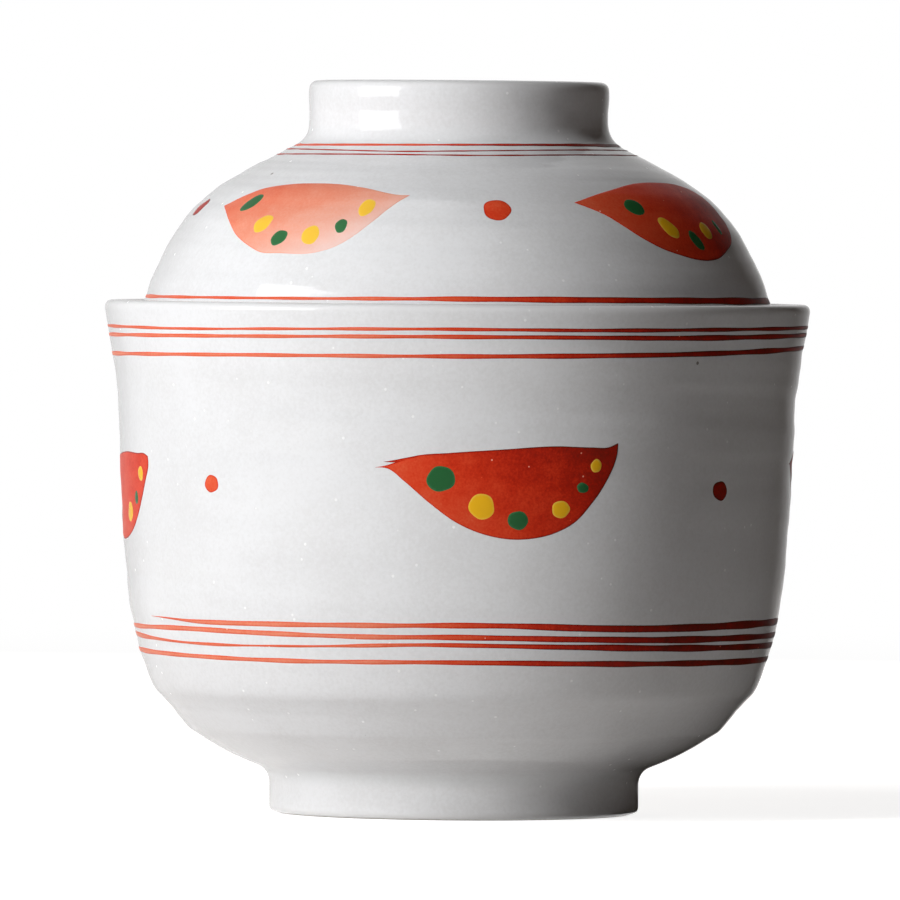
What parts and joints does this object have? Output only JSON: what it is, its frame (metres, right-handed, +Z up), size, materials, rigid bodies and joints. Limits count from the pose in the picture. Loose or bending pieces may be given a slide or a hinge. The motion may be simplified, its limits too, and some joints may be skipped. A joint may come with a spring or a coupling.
{
  "type": "lidded soup bowl",
  "caption": "Footed porcelain soup bowl with a flared lip, and a domed lift-off lid with a ring knob that sits on a ledge inside the lip; red banding and brush marks in enamel.",
  "frame": {"origin": "centre of the foot ring's resting plane", "axes": "+Z up along the turning axis of bowl and lid, -Y towards the side that faces the viewer, +X to the viewer's right"},
  "size_m": [0.1, 0.1, 0.1038],
  "materials": {
    "white_glaze": "clear glossy glaze over white porcelain",
    "bare_porcelain": "unglazed, fine matt biscuit",
    "red_enamel": "brushed overglaze enamel",
    "green_enamel": "raised overglaze enamel",
    "yellow_enamel": "raised overglaze enamel"
  },
  "bodies": {
    "bowl": {"bowl": "white_glaze"},
    "lid": {"lid": "white_glaze"}
  },
  "joints": [
    {"name": "lid_lift", "type": "slide", "parent": "bowl", "child": "lid", "axis": [0, 0, 1], "range_m": [0, 0.1]}
  ]
}
